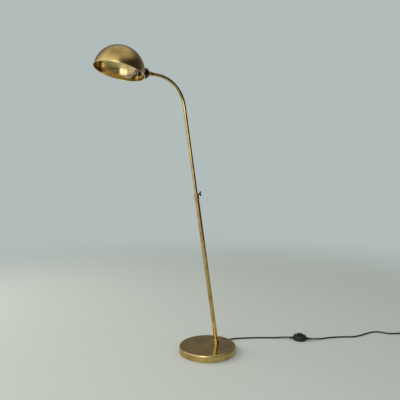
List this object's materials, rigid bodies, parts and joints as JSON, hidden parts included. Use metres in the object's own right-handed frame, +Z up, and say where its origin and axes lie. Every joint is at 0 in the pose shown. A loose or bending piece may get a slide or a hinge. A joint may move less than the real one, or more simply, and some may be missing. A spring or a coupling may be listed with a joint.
{
  "type": "bridge floor lamp",
  "caption": "Brass bridge floor lamp: weighted round base, leaning telescopic stem, curved arm, dome shade on a swivel, and a flex with a foot switch.",
  "frame": {"origin": "centre of the round base on the floor", "axes": "+Z up; -X to the front, where the shade reaches; the stem, arm and shade lie in the XZ plane"},
  "size_m": [1.4649, 0.6327, 1.2704],
  "materials": {
    "polished_brass": "aged polished brass, spun or drawn, with a worn mirror shine",
    "dark_brass": "darkened brass",
    "cast_iron": "as cast, black wash",
    "zinc_steel": "zinc-plated steel",
    "green_felt": "pressed felt",
    "black_rubber": "matt black rubber or soft PVC",
    "black_plastic": "satin black moulding",
    "white_nylon": "natural nylon",
    "porcelain": "glazed porcelain",
    "clear_glass": "clear bulb glass",
    "nickel": "nickel-plated screw cap",
    "lead_plastic": "insulated cores"
  },
  "bodies": {
    "base": {"base_cover": "polished_brass", "base_weight": "cast_iron", "bottom_plate": "zinc_steel", "clamp_collar": "polished_brass", "cord_grommet": "black_rubber", "felt_pad": "green_felt", "flex_coil": "black_rubber", "flex_grip": "white_nylon", "flex_in_base": "black_rubber", "flex_to_coil": "black_rubber", "flex_to_plug": "black_rubber", "flex_to_switch": "black_rubber", "foot_collar": "polished_brass", "guide_bush": "white_nylon", "lower_tube": "polished_brass", "nipple_nut": "zinc_steel", "nipple_washer": "zinc_steel", "plate_screws": "zinc_steel", "plug_base": "black_plastic", "plug_cover": "black_plastic", "plug_pins": "dark_brass", "plug_relief": "black_rubber", "stem_nipple": "zinc_steel", "supply_leads": "lead_plastic", "switch_base": "black_plastic", "switch_block": "white_nylon", "switch_cover": "black_plastic", "switch_pad": "black_rubber", "switch_reliefs": "black_rubber", "switch_screws": "zinc_steel", "switch_tails": "black_rubber", "tube_end_plug": "dark_brass"},
    "arm_guide": {"slide_bush": "white_nylon"},
    "arm": {"upper_tube": "polished_brass", "arm_flex": "black_rubber", "tube_foot": "dark_brass", "bush_ring": "dark_brass", "knuckle_arm": "polished_brass", "knuckle_screw": "polished_brass", "knuckle_washer": "polished_brass"},
    "head": {"knuckle_head": "polished_brass", "holder_cup": "dark_brass", "holder_cap": "black_plastic", "holder_shell": "black_plastic", "holder_insert": "porcelain", "holder_contact": "dark_brass", "holder_leads": "lead_plastic", "shade": "polished_brass", "shade_ring": "polished_brass", "bulb_cap": "nickel", "bulb_glass": "clear_glass"},
    "clamp_pad": {"clamp_pad": "dark_brass"},
    "thumb_screw": {"thumb_screw": "polished_brass"},
    "foot_button": {"switch_button": "black_plastic"}
  },
  "joints": [
    {"name": "height_slide", "type": "slide", "parent": "base", "child": "arm_guide", "axis": [-0.159, 0, 0.9873], "range_m": [-0.34, 0.15]},
    {"name": "arm_swivel", "type": "hinge", "parent": "arm_guide", "child": "arm", "pos_m": [-0.02117, 0, 0.4644], "axis": [-0.159, 0, 0.9873], "range_deg": [-170, 170]},
    {"name": "shade_tilt", "type": "hinge", "parent": "arm", "child": "head", "pos_m": [-0.27162, 0, 1.17721], "axis": [0, 1, 0], "range_deg": [-75, 65]},
    {"name": "clamp_pad_slide", "type": "slide", "parent": "base", "child": "clamp_pad", "axis": [0.9873, 0, 0.159], "range_m": [0, 0.0012]},
    {"name": "thumb_screw_turn", "type": "hinge", "parent": "clamp_pad", "child": "thumb_screw", "pos_m": [-0.05835, 0, 0.69523], "axis": [0.9873, 0, 0.159], "range_deg": [0, 540.1]},
    {"name": "foot_button_press", "type": "slide", "parent": "base", "child": "foot_button", "axis": [0, 0, -1], "range_m": [0, 0.003], "stiffness_N_per_m": 800, "springref_m": -0.002}
  ],
  "couplings": [
    {"joint": "thumb_screw_turn", "follows": "clamp_pad_slide", "rad_per_m": 7854}
  ]
}
